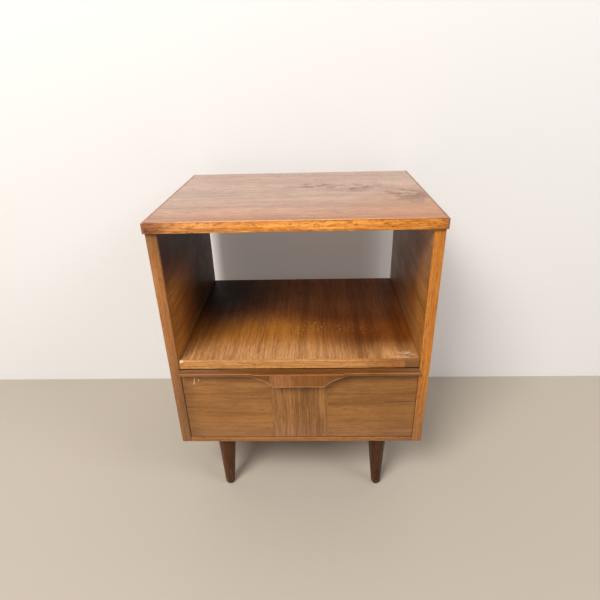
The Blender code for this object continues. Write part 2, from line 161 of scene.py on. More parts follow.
class Graph:
    """One material's nodes. Most methods add a node and return the socket to carry on from."""

    def __init__(self, name, metallic=0.0, specular=0.5):
        self.material = bpy.data.materials.new(name)
        self.material.use_nodes = True
        self.tree = self.material.node_tree
        self.shader = self.tree.nodes["Principled BSDF"]
        self.shader.inputs["Metallic"].default_value = metallic
        self.shader.inputs["Specular IOR Level"].default_value = specular
        self.place = self.add("TexCoord").outputs["Object"]

    def add(self, kind, *values, **settings):
        node = self.tree.nodes.new("ShaderNode" + kind)
        for key, value in settings.items():
            setattr(node, key, value)
        for socket, value in zip(node.inputs, values):
            self.feed(socket, value)
        return node

    def feed(self, socket, value):
        if isinstance(value, bpy.types.NodeSocket):
            self.tree.links.new(value, socket)
        elif value is not None:
            socket.default_value = value

    def math(self, operation, a, b=0.0):
        return self.add("Math", a, b, operation=operation).outputs[0]

    def product(self, first, *others):
        for other in others:
            first = self.math("MULTIPLY", first, other)
        return first

    def vector(self, operation, a, b=(0, 0, 0)):
        return self.add("VectorMath", a, b, operation=operation)

    def axis(self, which, place=None):
        return self.add("SeparateXYZ", place or self.place).outputs[which]

    def mix(self, share, a, b, blend="MIX"):
        node = self.add("Mix", data_type="RGBA", blend_type=blend)
        self.feed(node.inputs[0], share)
        self.feed(node.inputs[6], a)
        self.feed(node.inputs[7], b)
        return node.outputs[2]

    def step(self, value, low, high, least=0.0, most=1.0):
        """least up to low and most from high on, with an easy rise between. low may be the larger."""
        node = self.add("MapRange", value, low, high, least, most, interpolation_type="SMOOTHSTEP")
        return node.outputs[0]

    def ramp(self, value, *stops):
        """The colour at value between (place, colour) stops."""
        node = self.add("ValToRGB", value)
        elements = node.color_ramp.elements
        elements[0].position, elements[0].color = stops[0]
        elements[1].position, elements[1].color = stops[-1]
        for position, color in stops[1:-1]:
            elements.new(position).color = color
        return node.outputs[0]

    def mapped(self, shift, scale=(1, 1, 1), turn=0.0, place=None):
        """The place, moved, turned about Z and scaled, for noise of another seed and shape."""
        return self.add("Mapping", place or self.place, shift, (0, 0, turn), scale).outputs[0]

    def noise(self, place, detail=2.0, roughness=0.5, scale=1.0):
        node = self.add("TexNoise", place)
        node.inputs["Scale"].default_value = scale
        node.inputs["Detail"].default_value = detail
        node.inputs["Roughness"].default_value = roughness
        return node.outputs[0]

    def drawn_out(self, grain, length, width, seed, detail=2.0, place=None):
        """Noise drawn out along the grain: its marks are about this long and this wide."""
        scale = [1 / width] * 3
        scale[grain] = 1 / length
        shift = (seed, 2.3 * seed, 3.1 * seed)
        return self.noise(self.mapped(shift, scale, place=place), detail)

    def swayed(self, grain, length, sway, seed):
        """The place, pushed sideways a little and slowly along the grain, so that the grain isn't ruled."""
        drift = self.drawn_out(grain, length, length * 0.6, seed, 1.0)
        push = [sway, sway, sway]
        push[grain] = 0.0
        away = self.math("SUBTRACT", drift, 0.5)
        scaled = self.add("VectorMath", push, operation="SCALE")
        self.feed(scaled.inputs[3], away)
        return self.vector("ADD", self.place, scaled.outputs[0]).outputs[0]

    def stroke(self, start, end, width, place=None):
        """1 along the line between two points, falling to 0 at its sides."""
        run = Vector(end) - Vector(start)
        offset = self.vector("SUBTRACT", place or self.place, tuple(start)).outputs[0]
        along = self.vector("DOT_PRODUCT", offset, tuple(run / run.length_squared)).outputs[1]
        share = self.math("MINIMUM", self.math("MAXIMUM", along, 0.0), 1.0)
        nearest = self.add("VectorMath", tuple(run), operation="SCALE")
        self.feed(nearest.inputs[3], share)
        away = self.vector("DISTANCE", offset, nearest.outputs[0]).outputs[1]
        return self.step(away, width, width * 0.3)

    def strokes(self, marks, place=None):
        """Several strokes together, each (start, end, width)."""
        total = None
        for mark in marks:
            one = self.stroke(*mark, place=place)
            total = one if total is None else self.math("MAXIMUM", total, one)
        return total

    def spot(self, centre, radii):
        """How far inside an ellipsoid the place is: 1 at the centre, 0 at its surface and beyond."""
        offset = self.vector("SUBTRACT", self.place, centre).outputs[0]
        scaled = self.vector("DIVIDE", offset, radii).outputs[0]
        return self.step(self.vector("LENGTH", scaled).outputs[1], 1.0, 0.15)

    def arris(self):
        """1 on a piece's arrises and 0 on its faces, as its mesh marks them."""
        return self.add("Attribute", attribute_name="arris").outputs["Fac"]

    def surface(self, color, roughness, height, relief):
        """Joins the finished sockets to the shader. relief is how high a height of 1 stands, in metres."""
        self.feed(self.shader.inputs["Base Color"], color)
        self.feed(self.shader.inputs["Roughness"], roughness)
        bump = self.add("Bump")
        bump.inputs["Strength"].default_value = 1.0
        bump.inputs["Distance"].default_value = relief
        self.feed(bump.inputs["Height"], height)
        self.feed(self.shader.inputs["Normal"], bump.outputs[0])
        return self.material


def wood(
    graph,
    grain,
    seed,
    colors,
    band=0.034,
    streak=0.0055,
    contrast=1.0,
    pores=0.4,
    sway=0.012,
    pore=0.0018,
):
    """The colour and height of lacquered wood whose grain runs along one axis.

    colors are its dark, middle and light tones. band, streak and pore are the widths of its broad and narrow
    figure and its pores, pores is how dark those are, and sway is how far the grain wanders.
    """
    dark, middle, light = colors
    place = graph.swayed(grain, sway_length, sway, seed)
    bands = graph.drawn_out(grain, band_length, band, seed + 1, 3.0, place)
    streaks = graph.drawn_out(grain, streak_length, streak, seed + 2, 3.0, place)
    lines = graph.drawn_out(grain, line_length, line_width, seed + 3, 3.0, place)
    figure = graph.math("ADD", graph.product(bands, band_share), graph.product(streaks, streak_share))
    tone = graph.math("ADD", figure, graph.product(lines, line_share))
    spread = tone_spread / contrast
    share = graph.step(tone, 0.5 - spread, 0.5 + spread)
    color = graph.ramp(share, (0.0, dark), (0.5, middle), (1.0, light))
    flecks = graph.drawn_out(grain, pore_stretch * pore, pore, seed + 4, 2.0, place)
    open_pores = graph.step(flecks, 0.55, 0.68)
    color = graph.mix(graph.product(open_pores, pores), color, shaded(dark, 0.45))
    height = graph.math("SUBTRACT", graph.product(lines, 0.5), open_pores)
    return color, height


def shaded(color, share):
    """A linear colour, darkened to about this share of itself, and a little reddened."""
    return (*[value * share * red for value, red in zip(color[:3], (1.0, 0.82, 0.75))], 1.0)


def uneven(graph, seed, size, low, high):
    """A roughness that wanders between two values, as rubbed and re-waxed lacquer does."""
    cloud = graph.noise(graph.mapped((seed, seed, 0)), 4.0, 0.6, 1 / size)
    return graph.step(cloud, 0.3, 0.7, low, high)


def rub_edges(graph, color, bare, amount, seed):
    """Lets the bare wood show along the arrises, in some places more than in others."""
    patchy = graph.step(graph.noise(graph.place, 3.0, 0.6, 55.0 + seed), 0.42, 0.62)
    return graph.mix(graph.product(graph.arris(), patchy, amount), color, bare)


def tinted(graph, color, share, before, after):
    """Turns one display colour into another where share is 1. Being factors, they keep the wood's figure."""
    factors = [new / old for old, new in zip(rgb(*before)[:3], rgb(*after)[:3])]
    return graph.mix(share, color, (*factors, 1.0), "MULTIPLY")


def fade(graph, color, axis, start, end, change, amount=1.0, mirrored=False):
    """Tints the colour between two places along an axis, or along both ways from its middle."""
    along = graph.axis(axis)
    if mirrored:
        along = graph.math("ABSOLUTE", along)
    return tinted(graph, color, graph.step(along, start, end, 0.0, amount), *change)


def spots(graph, places):
    """The inside of several ellipsoids together, each (centre, radii)."""
    total = 0.0
    for centre, radii in places:
        total = graph.math("MAXIMUM", graph.spot(centre, radii), total)
    return total


def mottle(graph, color, seed, scale, amount, other, low=0.50, high=0.66):
    """Blotches of another colour. scale is how many of them a metre holds along X, Y and Z."""
    blotch = graph.noise(graph.mapped((seed, seed, seed), scale), 5.0, 0.62)
    return graph.mix(graph.step(blotch, low, high, 0.0, amount), color, other)


def mark(graph, color, lines, other, amount, place=None):
    """Scratches and cracks: strokes of another display colour, each (start, end, width)."""
    return graph.mix(graph.product(graph.strokes(lines, place), amount), color, rgb(*other))


# ---------------------------------------------------------------- materials
def veneer(name, grain, seed, colors, specular=0.45, cloud=0.35, **figure):
    """The start of a veneer's material: its wood, with darker clouds and rubbed arrises."""
    graph = Graph(name, specular=specular)
    dark, _, light = colors
    color, height = wood(graph, grain, seed, colors, **figure)
    blotch = graph.noise(graph.place, 3.0, 0.5, 9.0)
    color = graph.mix(graph.step(blotch, 0.40, 0.70, 0.0, cloud), color, dark)
    scale = [70, 70, 70]
    scale[grain] = 22
    color = mottle(graph, color, seed, scale, cloud, dark)
    color = rub_edges(graph, color, light, 0.5, seed)
    return graph, color, height


def top_veneer():
    """A painted sheen makes it paler towards its back; worn through its finish in a cloud of stains right of
    its middle.
    """
    base = (165, 105, 60)
    painted_pale = (174, 133, 107)
    orange = (172, 98, 36)
    figure = {"band": 0.05, "contrast": 0.9, "pores": 0.55, "pore": 0.0030}
    graph, color, height = veneer("top_veneer_walnut", X, 3.0, tones(*base, 0.3), 0.7, 0.3, **figure)
    # A painted sheen: the top face turns paler and pinker towards its back.
    above = graph.step(graph.axis(Z), top_z - 0.003, top_z - 0.001)
    sheen_towards_back = graph.step(graph.axis(Y), -0.190, -0.050)
    color = tinted(graph, color, graph.product(sheen_towards_back, above), base, painted_pale)
    right_front = graph.spot((0.270, -0.130, top_z), (0.240, 0.210, 0.1))
    color = tinted(graph, color, right_front, base, orange)
    flecks = graph.step(graph.noise(graph.mapped((7, 7, 0), (42, 230, 1)), 3.0, 0.6), 0.56, 0.64, 0.0, 0.45)
    color = graph.mix(flecks, color, rgb(116, 62, 34))
    color, stains = stained(graph, color)
    scuff = [((-0.231, -0.126, top_z), (-0.222, -0.118, top_z), 0.0030)]
    color = mark(graph, color, scuff, (206, 164, 134), 0.4)
    rough = graph.math("ADD", uneven(graph, 4.0, 0.05, 0.15, 0.24), graph.product(stains, 0.16))
    return graph.surface(color, rough, height, 0.00003)


def stained(graph, color):
    """The top's cloud of stains, with darker specks and bare strokes in it, and how stained each place is."""
    worn = spots(
        graph,
        [
            ((0.118, 0.038, top_z), (0.110, 0.052, 0.05)),
            ((0.030, 0.060, top_z), (0.080, 0.032, 0.05)),
            ((0.215, -0.030, top_z), (0.075, 0.090, 0.05)),
        ],
    )
    cloud = graph.noise(graph.mapped((5, 5, 0), (38, 62, 1), turn=0.3), 7.0, 0.68)
    stains = graph.product(graph.step(cloud, 0.43, 0.55), worn)
    color = graph.mix(graph.product(stains, 0.85), color, rgb(106, 56, 32))
    specks = graph.product(graph.step(graph.noise(graph.place, 4.0, 0.7, 150.0), 0.55, 0.64), worn)
    color = graph.mix(graph.product(specks, 0.85), color, rgb(70, 34, 20))
    bare = [
        ((0.150, 0.010, top_z), (0.196, -0.002, top_z), 0.0030),
        ((0.222, 0.098, top_z), (0.240, 0.090, top_z), 0.0040),
        ((0.222, 0.046, top_z), (0.244, 0.034, top_z), 0.0040),
        ((0.178, -0.052, top_z), (0.212, -0.060, top_z), 0.0028),
    ]
    color = mark(graph, color, bare, (200, 118, 64), 0.6, graph.swayed(X, 0.012, 0.014, 8.0))
    return color, graph.math("MAXIMUM", stains, specks)


def side_veneer(name, seed, back, upper_shade_and_sheen, specular):
    """Paler at its front and browner towards its back and up under the top inside the case, as painted light
    and shade, and plain on its outer face.
    """
    front = (184, 122, 54)
    middle = (142, 84, 32)
    outer = (150, 96, 44)
    graph, color, height = veneer(name, Y, seed, tones(*front, 0.3), specular, band=0.03)
    plain = tinted(graph, color, 1.0, front, outer)
    # Painted light at the front inside the case, and painted shade towards the back and up under the top.
    color = fade(graph, color, Y, -0.15, -0.06, (front, middle), 0.85)
    color = fade(graph, color, Y, -0.08, 0.05, (middle, back), 0.9)
    color = fade(graph, color, Z, 0.46, 0.56, (front, upper_shade_and_sheen))
    within = graph.step(graph.math("ABSOLUTE", graph.axis(X)), wall_x + 0.003, wall_x + 0.001)
    color = graph.mix(within, plain, color)
    scratch = [((-wall_x, -0.085, shelf_z + 0.0070), (-wall_x, 0.110, shelf_z + 0.0060), 0.0014)]
    color = mark(graph, color, scratch, (196, 156, 114), 0.55)
    return graph.surface(color, uneven(graph, seed, 0.05, 0.36, 0.50), height, 0.00006)


def shelf_veneer():
    """Paler towards its front and darker at its back, as painted light and shade under the top; darker right
    of its middle, with a painted shadow at its back left.
    """
    front = (190, 137, 87)
    middle = (160, 100, 34)
    back = (122, 70, 28)
    figure = {"band": 0.026, "streak": 0.0045, "contrast": 1.1}
    graph, color, height = veneer("shelf_veneer_walnut", Y, 21.0, tones(*front, 0.3), 0.12, **figure)
    # Paler at the front and darker towards the back under the top: painted light and painted shade.
    color = fade(graph, color, Y, -0.168, -0.075, (front, middle))
    color = fade(graph, color, Y, -0.07, 0.04, (middle, back))
    slant = graph.math("ADD", graph.axis(X), graph.product(graph.axis(Y), 0.6))
    right = graph.step(slant, -0.09, 0.09)
    behind = graph.step(graph.axis(Y), -0.158, -0.098)
    before = graph.step(graph.axis(Y), 0.06, -0.02)
    color = tinted(graph, color, graph.product(right, behind, before, 0.85), middle, (106, 50, 6))
    # A paler spot in the middle of the front: painted light.
    painted_pale = graph.spot((0.030, -0.140, shelf_z), (0.065, 0.075, 0.1))
    color = tinted(graph, color, painted_pale, front, (208, 152, 98))
    darker = graph.spot((0.118, -0.135, shelf_z), (0.045, 0.090, 0.1))
    color = tinted(graph, color, darker, front, (160, 110, 62))
    # A dark spot at the back left: a painted shadow.
    painted_shadow = graph.spot((-0.20, 0.14, shelf_z), (0.21, 0.26, 0.1))
    color = tinted(graph, color, painted_shadow, back, (44, 24, 10))
    color = shelf_scuffs(graph, color)
    return graph.surface(color, uneven(graph, 9.0, 0.05, 0.40, 0.54), height, 0.00006)


def shelf_scuffs(graph, color):
    """Specks where things stood on the shelf, and pale rubs at its right front corner."""
    specks = graph.step(graph.noise(graph.place, 3.0, 0.6, 230.0), 0.61, 0.67)
    left_front = ((-0.19, -0.14, shelf_z), (0.06, 0.05, 0.05))
    centre = ((0.03, -0.06, shelf_z), (0.17, 0.05, 0.05))
    scuffed = spots(graph, [left_front, centre])
    color = graph.mix(graph.product(specks, scuffed, 0.6), color, rgb(216, 158, 106))
    rubs = graph.step(graph.drawn_out(X, 0.012, 0.003, 25.0), 0.50, 0.60)
    corner = graph.spot((0.212, -0.166, shelf_z), (0.036, 0.022, 0.05))
    return graph.mix(graph.product(rubs, corner, 0.8), color, rgb(222, 190, 150))


def drawer_veneer(name, grain, seed, colors, marks=(), **figure):
    """marks are (lines, colour, amount). A line's ends are places across, and up from the case's bottom."""
    graph, color, height = veneer(name, grain, seed, colors, 0.35, **figure)
    color = fade(graph, color, Z, veneer_low + 0.05, veneer_low, ((140, 96, 50), (146, 104, 66)))
    color = fade(graph, color, X, -0.195, -0.232, ((154, 104, 54), (134, 90, 48)))
    for lines, other, amount in marks:
        strokes = []
        for start, end, width in lines:
            ends = [(x, veneer_front, case_low + up) for x, up in (start, end)]
            strokes.append((*ends, width))
        color = mark(graph, color, strokes, other, amount)
    return graph.surface(color, uneven(graph, seed, 0.04, 0.42, 0.55), height, 0.00006)


def edge_wood(
    name,
    grain,
    seed,
    colors,
    bare=(226, 160, 96),
    fades=(),
    pitted=0.35,
    specular=0.3,
    joint=None,
    chip=None,
):
    """Solid edging: coarser pores than veneer, mottled, worn on its arrises, and darker on its end grain.

    fades are the values of calls to fade. joint is the height of an upper arris where dirt has gathered, and
    chip the place of a fresh break.
    """
    graph = Graph(name, specular=specular)
    dark, _, light = colors
    color, height = wood(graph, grain, seed, colors, band=0.012, streak=0.003, pores=0.5, sway=0.004)
    scale = [360, 360, 360]
    scale[grain] = 140
    color = mottle(graph, color, seed, scale, pitted, shaded(dark, 0.55), 0.50, 0.64)
    scale[grain] = 30
    color = mottle(graph, color, seed + 5, scale, pitted, light, 0.50, 0.66)
    for values in fades:
        color = fade(graph, color, *values)
    facing = graph.axis(grain, graph.add("NewGeometry").outputs["Normal"])
    end_grain = graph.step(graph.math("ABSOLUTE", facing), 0.5, 0.8)
    color = graph.mix(graph.product(end_grain, 0.6), color, dark)
    color = rub_edges(graph, color, rgb(*bare), 0.5, seed)
    if joint:
        upper_arris = graph.product(graph.arris(), graph.step(graph.axis(Z), joint - 0.004, joint - 0.001))
        towards_right = graph.step(graph.axis(X), -0.06, 0.04, 0.25, 0.9)
        color = graph.mix(graph.product(upper_arris, towards_right), color, rgb(70, 38, 20))
    if chip:
        fresh = graph.step(graph.spot(chip, (0.008, 0.006, 0.005)), 0.1, 0.3)
        color = graph.mix(fresh, color, rgb(240, 208, 162))
    return graph.surface(color, uneven(graph, seed, 0.02, 0.38, 0.52), height, 0.00012)


def pull_wood():
    """Two woods on one piece: along it everywhere but on the tab, where a facing stands upright."""
    graph = Graph("pull_walnut", specular=0.35)
    strip = (108, 63, 22)
    facing = (136, 82, 34)
    facing_left = -0.056
    color, height = wood(graph, X, 31.0, tones(*strip), band=0.010, streak=0.003)
    color = fade(graph, color, X, -0.08, -0.20, (strip, (128, 86, 54)))
    color = fade(graph, color, X, 0.15, 0.23, (strip, (120, 82, 50)))
    skirt = graph.step(graph.axis(Z), pull_top - 0.004, pull_top - 0.010)
    color = tinted(graph, color, skirt, strip, (132, 82, 36))
    tab = wood(graph, Z, 35.0, tones(*facing, 0.25), band=0.008, streak=0.002, contrast=0.7)[0]
    tab = fade(graph, tab, X, 0.000, -0.020, (facing, (156, 100, 56)))
    right_of = graph.step(graph.axis(X), facing_left - 0.0002, facing_left + 0.0002)
    left_of = graph.step(graph.axis(X), 0.100, 0.040)
    below = graph.step(graph.axis(Z), pull_top - pull_arris, pull_top - 2 * pull_arris)
    color = graph.mix(graph.product(right_of, left_of, below), color, tab)
    seam_top = (facing_left, pull_front, pull_top)
    seam_foot = (facing_left, pull_front, pull_top - pull_drop)
    color = mark(graph, color, [(seam_top, seam_foot, 0.0006)], (56, 34, 20), 0.7)
    # Rubbed bare on its front arrises; the lower arrises, which face down, are paler still: a painted
    # highlight.
    patchy = graph.step(graph.noise(graph.place, 3.0, 0.6, 60.0), 0.30, 0.60, 0.4, 0.9)
    low = graph.step(graph.axis(Z), pull_top - 0.004, pull_top - 0.012)
    rubbed = graph.mix(low, rgb(156, 104, 60), rgb(240, 180, 120))
    color = graph.mix(graph.product(graph.arris(), patchy), color, rubbed)
    return graph.surface(color, uneven(graph, 31.0, 0.02, 0.36, 0.50), height, 0.00008)


def leg_wood():
    """Dark stain, a little darker on the right, and knocked down to pale wood near the floor."""
    graph = Graph("leg_walnut", specular=0.25)
    stain = (84, 46, 15)
    color, height = wood(graph, Z, 41.0, tones(*stain), band=0.010, streak=0.003)
    color = fade(graph, color, X, -0.15, 0.15, (stain, (72, 38, 10)))
    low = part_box("leg_front_right")[0].z
    knocks = graph.step(graph.noise(graph.place, 2.0, 0.5, 300.0), 0.68, 0.72)
    near_floor = graph.step(graph.axis(Z), low + 0.07, low + 0.01, 0.1, 0.8)
    color = graph.mix(graph.product(knocks, near_floor), color, rgb(190, 160, 130))
    return graph.surface(color, uneven(graph, 41.0, 0.02, 0.32, 0.46), height, 0.00008)


def raw_wood(name, grain, seed, colors):
    """Unfinished secondary wood, inside the drawer and under it."""
    graph = Graph(name, specular=0.3)
    color, height = wood(graph, grain, seed, colors, band=0.02, streak=0.004, pores=0.5, contrast=0.8)
    color = rub_edges(graph, color, colors[2], 0.4, seed)
    return graph.surface(color, uneven(graph, seed, 0.03, 0.58, 0.74), height, 0.0001)


def drawer_core():
    """Pale inside, and stained dark on the edges that show round the drawer's front."""
    graph = Graph("drawer_core_wood", specular=0.3)
    pale = (204, 170, 122)
    stain = (118, 80, 46)
    top_stain = (62, 38, 22)
    color, height = wood(graph, X, 107.0, tones(*pale, 0.2), band=0.02, streak=0.004)
    low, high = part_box("drawer_front")
    color = fade(graph, color, Z, high.z - 0.002, high.z - 0.001, (pale, top_stain))
    color = fade(graph, color, X, high.x - 0.002, high.x - 0.001, (pale, stain), mirrored=True)
    color = fade(graph, color, Y, low.y + 0.004, low.y + 0.003, (pale, stain))
    return graph.surface(color, uneven(graph, 107.0, 0.03, 0.58, 0.74), height, 0.0001)


def hardboard():
    graph = Graph("hardboard_brown", specular=0.3)
    flecks = graph.noise(graph.place, 5.0, 0.7, 420.0)
    clouds = graph.noise(graph.place, 3.0, 0.5, 14.0)
    color = graph.ramp(graph.step(flecks, 0.35, 0.65), (0.0, rgb(92, 62, 40)), (1.0, rgb(134, 94, 62)))
    color = graph.mix(graph.step(clouds, 0.4, 0.7, 0.0, 0.4), color, rgb(84, 56, 38))
    return graph.surface(color, uneven(graph, 51.0, 0.04, 0.62, 0.80), flecks, 0.0001)


def plated_steel():
    graph = Graph("zinc_plated_steel", metallic=1.0)
    spangle = graph.noise(graph.place, 4.0, 0.6, 160.0)
    dull = graph.noise(graph.place, 3.0, 0.6, 60.0)
    color = graph.ramp(spangle, (0.3, rgb(150, 148, 140)), (0.7, rgb(198, 196, 188)))
    color = graph.mix(graph.step(dull, 0.5, 0.75, 0.0, 0.5), color, rgb(112, 98, 80))
    return graph.surface(color, graph.step(dull, 0.3, 0.7, 0.28, 0.50), spangle, 0.00003)


def nylon(name, color, worn):
    graph = Graph(name, specular=0.45)
    cloud = graph.noise(graph.place, 3.0, 0.5, 90.0)
    scuff = graph.step(graph.noise(graph.place, 4.0, 0.7, 500.0), 0.58, 0.72)
    color = graph.ramp(cloud, (0.3, shaded(color, 0.85)), (0.7, color))
    color = graph.mix(graph.product(scuff, 0.5), color, worn)
    return graph.surface(color, graph.step(cloud, 0.3, 0.7, 0.38, 0.52), scuff, 0.00005)


# ---------------------------------------------------------------- mesh helpers
def add_piece(name, shape, material, body, slot, *stands_for):
    """Makes a piece of a bmesh, smooth but for its sharp edges, and puts it on its body."""
    mesh = bpy.data.meshes.new(name)
    shape.to_mesh(mesh)
    shape.free()
    mesh.shade_smooth()
    mesh.set_sharp_from_angle(angle=sharp_angle)
    mesh.materials.append(material)
    obj = bpy.data.objects.new(name, mesh)
    bpy.context.scene.collection.objects.link(obj)
    weighted = obj.modifiers.new("flat_faces", "WEIGHTED_NORMAL")
    weighted.keep_sharp = True
    weighted.weight = 100
    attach(obj, body)
    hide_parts(*stands_for)


def side_of(mark):
    """(axis, end) for a side's name such as -y: end is 0 at the low end and 1 at the high one."""
    return "xyz".index(mark[1]), int(mark[0] == "+")


def stations(low, high, ease_low, ease_high):
    """Where a board is cut into cells along one axis: closely over each eased arris, and evenly between."""
    places = {low, high}
    for end, ease, inward in ((low, ease_low, 1), (high, ease_high, -1)):
        if ease:
            for i in range(arris_steps):
                places.add(end + inward * ease * (1 - math.tan(math.pi / 4 * i / arris_steps)))
            if high - low > 4 * arris_strip:
                places.add(end + inward * (ease + arris_strip))
    length = high - low
    count = max(1, round(length / board_cell))
    for i in range(1, count):
        place = low + length * i / count
        if all(abs(place - other) > board_cell / 3 for other in places):
            places.add(place)
    return sorted(places)


def grid_box(shape, along):
    """The surface of a box in square cells. along holds the stations on X, Y and Z."""
    made = {}

    def corner(*index):
        if index not in made:
            made[index] = shape.verts.new([along[axis][i] for axis, i in enumerate(index)])
        return made[index]

    for axis in range(3):
        u, v = (axis + 1) % 3, (axis + 2) % 3
        for end in (0, len(along[axis]) - 1):
            for i in range(len(along[u]) - 1):
                for j in range(len(along[v]) - 1):
                    ring = []
                    for du, dv in ((0, 0), (1, 0), (1, 1), (0, 1)):
                        index = [0, 0, 0]
                        index[axis], index[u], index[v] = end, i + du, j + dv
                        ring.append(corner(*index))
                    shape.faces.new(ring if end else list(reversed(ring)))


def ease_and_rub(shape, low, high, eases):
    """Rounds the arrises, marks them in the "arris" layer, and rubs them down a little, unevenly."""
    layer = shape.verts.layers.float.new("arris")
    inner_low = [low[i] + eases[i][0] for i in range(3)]
    inner_high = [high[i] - eases[i][1] for i in range(3)]
    for vert in shape.verts:
        inner = Vector([min(max(vert.co[i], inner_low[i]), inner_high[i]) for i in range(3)])
        out = vert.co - inner
        beyond = [i for i in range(3) if abs(out[i]) > 1e-7]
        if len(beyond) < 2:
            continue
        ease = max(abs(out[i]) for i in beyond)
        rubbed = max(0.0, noise.noise(vert.co * rub_waves) + 0.15) ** 2
        nick = max(0.0, noise.noise(vert.co * nick_waves) - 0.35)
        vert.co = inner + out.normalized() * ease - out.normalized() * rub_depth * (rubbed + nick)
        vert[layer] = 1.0


def rubbed_board(name, material, body, slot, glued=(), ease=board_ease, chip=None):
    """Stands for the board of this name. A glued side reaches over its joint, and its edges stay sharp."""
    low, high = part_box(name)
    eases = [[ease, ease] for axis in range(3)]
    for axis, end in (side_of(mark) for mark in glued):
        eases[axis][end] = 0.0
        (low, high)[end][axis] += (-1, 1)[end] * joint_reach
    shape = bmesh.new()
    grid_box(shape, [stations(low[i], high[i], *eases[i]) for i in range(3)])
    ease_and_rub(shape, low, high, eases)
    if chip:
        knock_off(shape, *chip)
    add_piece(name + "_worn", shape, material, body, slot, name)


def knock_off(shape, place, outward):
    """Breaks a corner off a board along a plane, and closes the break."""
    everything = shape.verts[:] + shape.edges[:] + shape.faces[:]
    cut = bmesh.ops.bisect_plane(
        shape, geom=everything, dist=0.00001, plane_co=place, plane_no=outward, clear_outer=True
    )
    rim = [item for item in cut["geom_cut"] if isinstance(item, bmesh.types.BMEdge)]
    bmesh.ops.holes_fill(shape, edges=rim, sides=0)


def bridge(shape, rings):
    """Joins rings of points, all of one length, with four-sided faces, and caps the first and the last.

    Returns the rings of vertices.
    """
    loops = [[shape.verts.new(point) for point in ring] for ring in rings]
    count = len(loops[0])
    for before, after in zip(loops, loops[1:]):
        for i in range(count):
            j = (i + 1) % count
            shape.faces.new((before[i], before[j], after[j], after[i]))
    shape.faces.new(list(reversed(loops[0])))
    shape.faces.new(loops[-1])
    bmesh.ops.recalc_face_normals(shape, faces=shape.faces)
    return loops


# ---------------------------------------------------------------- case
def case_bands(broken):
    """The materials of the case's solid edging, by piece. broken is where the shelf's corner is knocked."""
    gold = (230, 150, 68)
    gold_fades = [
        (X, -0.08, -0.14, (gold, (226, 152, 82))),
        (X, -0.17, -0.25, (gold, (146, 86, 42))),
        (X, 0.05, 0.18, (gold, (210, 132, 52))),
        (X, 0.23, 0.25, (gold, (206, 132, 58))),
    ]
    brown = (174, 114, 62)
    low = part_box("side_front_band_left")[0].z
    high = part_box("side_front_band_left")[1].z
    brown_fades = [
        (Z, low + 0.26, low + 0.10, (brown, (144, 98, 60))),
        (Z, high - 0.07, high, (brown, (150, 102, 58))),
    ]
    bright = (194, 120, 46)
    bright_fades = [(Z, low + 0.20, low, (bright, (162, 108, 60)))]
    tan = (206, 146, 84)
    tan_fades = [(X, 0.09, 0.19, (tan, (166, 108, 54)))]
    dull = (156, 104, 54)
    dull_fades = [(X, -0.03, -0.09, (dull, (164, 110, 60))), (X, 0.12, 0.22, (dull, (136, 96, 62)))]

    figured = tones(*gold, 0.35)
    left_tones = tones(*brown, 0.2)
    right_tones = tones(*bright, 0.2)
    side_edging = edge_wood("top_side_edging", Y, 63.0, tones(156, 106, 70, 0.3), (150, 96, 58), specular=0.7)
    return {
        "top_front_band": edge_wood(
            "top_edging", X, 61.0, figured, (124, 70, 34), gold_fades, 0.75, joint=top_z
        ),
        "top_left_band": side_edging,
        "top_right_band": side_edging,
        "side_front_band_left": edge_wood(
            "left_edging", Z, 65.0, left_tones, (196, 138, 84), brown_fades, 0.25
        ),
        "side_front_band_right": edge_wood(
            "right_edging", Z, 67.0, right_tones, fades=bright_fades, pitted=0.25
        ),
        "shelf_front_band": edge_wood(
            "shelf_edging", X, 69.0, tones(*tan, 0.25), fades=tan_fades, chip=broken
        ),
        "shelf_band_patch": edge_wood(
            "patch_edging", X, 73.0, tones(133, 90, 48, 0.2), (150, 106, 62)
        ),
        "bottom_front_band": edge_wood(
            "bottom_edging", X, 71.0, tones(*dull, 0.2), (200, 136, 74), dull_fades
        ),
    }


def build_case():
    band_low, band_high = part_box("shelf_front_band")
    corner = Vector((band_low.x, band_low.y, band_high.z))
    outward = Vector((-0.8, -0.9, 0.7)).normalized()
    chip = (corner - outward * chip_depth, outward)
    woods = case_bands(broken=tuple(corner + Vector((chip_depth, 0.0, 0.0))))
    woods["top_panel"] = top_veneer()
    # The left side's back and upper tints are dark, painted shade; the right side's stay lighter and greyer, a
    # painted sheen.
    woods["side_panel_left"] = side_veneer("left_side_veneer", 11.0, (60, 34, 13), (74, 36, 12), 0.2)
    woods["side_panel_right"] = side_veneer("right_side_veneer", 14.0, (130, 84, 42), (184, 124, 62), 0.7)
    woods["shelf_panel"] = shelf_veneer()
    woods["drawer_bay_back"] = hardboard()
    boards = [
        ("top_panel", "top_veneer", ("-y", "-x", "+x")),
        ("top_front_band", "edge_wood", ("+y", "-x", "+x")),
        ("top_left_band", "edge_wood", ("+x",)),
        ("top_right_band", "edge_wood", ("-x",)),
        ("side_panel_left", "case_veneer", ("-y",)),
        ("side_front_band_left", "edge_wood", ("+y",)),
        ("side_panel_right", "case_veneer", ("-y",)),
        ("side_front_band_right", "edge_wood", ("+y",)),
        ("shelf_panel", "case_veneer", ("-y",)),
        ("shelf_front_band", "edge_wood", ("+y", "+x")),
        ("shelf_band_patch", "patch_wood", ("+y", "-x")),
        ("bottom_front_band", "edge_wood", ("+y",)),
        ("drawer_bay_back", "hardboard", ()),
    ]
    for name, slot, glued in boards:
        ease = thin_ease if name == "drawer_bay_back" else board_ease
        knocked = chip if name == "shelf_front_band" else None
        rubbed_board(name, woods[name], "case", slot, glued, ease, knocked)


